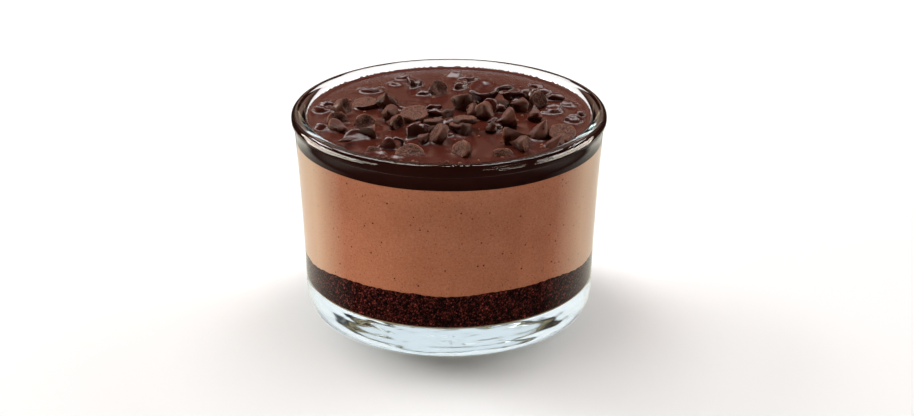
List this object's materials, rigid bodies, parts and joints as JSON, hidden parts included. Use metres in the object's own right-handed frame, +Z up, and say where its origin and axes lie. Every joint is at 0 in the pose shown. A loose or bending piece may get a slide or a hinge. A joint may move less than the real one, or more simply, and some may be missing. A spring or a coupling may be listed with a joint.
{
  "type": "chocolate mousse in a glass cup",
  "caption": "Layered chocolate dessert in a round clear glass cup: brownie crumb, mousse and a poured ganache with chocolate chips.",
  "frame": {"origin": "centre of the cup's underside, on the surface that it stands on", "axes": "+Z up along the cup's axis; the front of the cup faces -Y"},
  "size_m": [0.08, 0.08, 0.056],
  "materials": {
    "clear_glass": "clear pressed glass, polished",
    "brownie_crumb": "dark moist brownie crumb, grainy",
    "mousse": "smooth milk-chocolate mousse, satin",
    "ganache": "glossy poured ganache with satin dark chocolate chips"
  },
  "bodies": {
    "root": {"glass_cup": "clear_glass", "brownie_crumb": "brownie_crumb", "mousse": "mousse", "ganache_with_chips": "ganache"}
  },
  "joints": []
}
